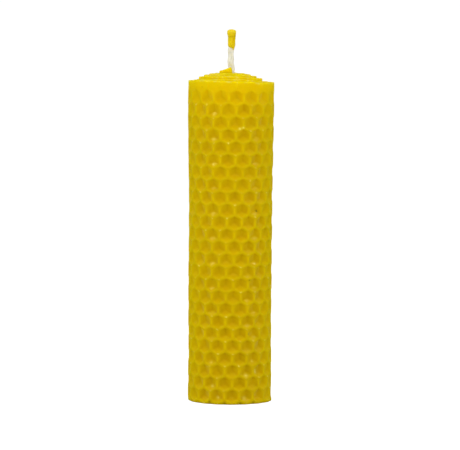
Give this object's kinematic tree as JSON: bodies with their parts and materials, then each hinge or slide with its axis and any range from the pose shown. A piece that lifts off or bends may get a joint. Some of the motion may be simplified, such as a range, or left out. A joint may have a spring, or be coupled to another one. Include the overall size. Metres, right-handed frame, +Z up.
{
  "type": "rolled beeswax candle",
  "caption": "Slim upright candle rolled from one honeycomb-embossed wax sheet round a cotton wick, its wick end dipped in wax, its top crowned in stepped turns.",
  "frame": {"origin": "on the table plane, under the middle of the candle's bounding box", "axes": "+Z up along the candle, -Y towards the front, the side that shows in the reference view, +X to the right of it"},
  "size_m": [0.0322, 0.0312, 0.1393],
  "materials": {
    "beeswax": "soft satin yellow beeswax, slightly translucent",
    "cotton": "undyed braided cotton, lightly waxed",
    "dipped_wax": "smooth yellow wax, set from a dip"
  },
  "bodies": {
    "root": {"wax_sheet": "beeswax", "wick": "cotton", "tip_wax": "dipped_wax"}
  },
  "joints": []
}
